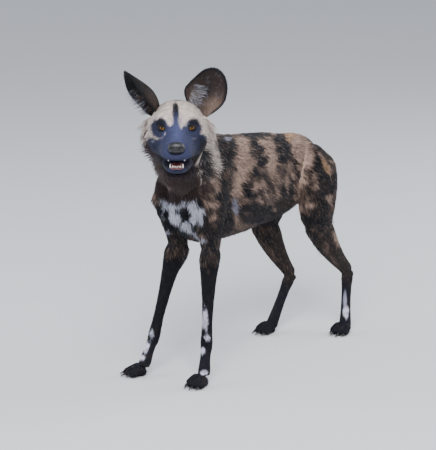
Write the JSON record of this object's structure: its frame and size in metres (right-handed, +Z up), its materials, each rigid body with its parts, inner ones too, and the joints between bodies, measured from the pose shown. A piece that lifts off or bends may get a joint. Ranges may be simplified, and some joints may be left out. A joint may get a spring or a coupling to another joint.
{
  "type": "african wild dog",
  "caption": "Life-size standing wild dog with large round ears, patched short coat, neck ruff, brushed tail and head turned to its left.",
  "frame": {"origin": "on the floor, under the middle of the whole animal's bounding box", "axes": "+Z up, the animal's body faces -Y, its left side is +X"},
  "size_m": [0.4154, 0.9556, 0.9195],
  "materials": {
    "eye": "glossy, wet",
    "nose_leather": "moist leathery",
    "tongue": "moist",
    "long_coat": "long dull fur",
    "jaw_coat": "short dull fur",
    "short_coat": "short dull fur",
    "leg_coat": "short dull fur"
  },
  "bodies": {
    "root": {"ear_left": "short_coat", "ear_right": "short_coat", "eye_left": "eye", "eye_right": "eye", "forearm_left": "leg_coat", "forearm_right": "leg_coat", "front_paw_left": "leg_coat", "front_paw_right": "leg_coat", "head": "short_coat", "hind_paw_left": "leg_coat", "hind_paw_right": "leg_coat", "lower_jaw": "jaw_coat", "neck": "long_coat", "nose": "nose_leather", "shank_left": "leg_coat", "shank_right": "leg_coat", "tail_brush": "long_coat", "tail_root": "long_coat", "thigh_left": "leg_coat", "thigh_right": "leg_coat", "tongue": "tongue", "torso": "short_coat", "upper_arm_left": "leg_coat", "upper_arm_right": "leg_coat"}
  },
  "joints": []
}
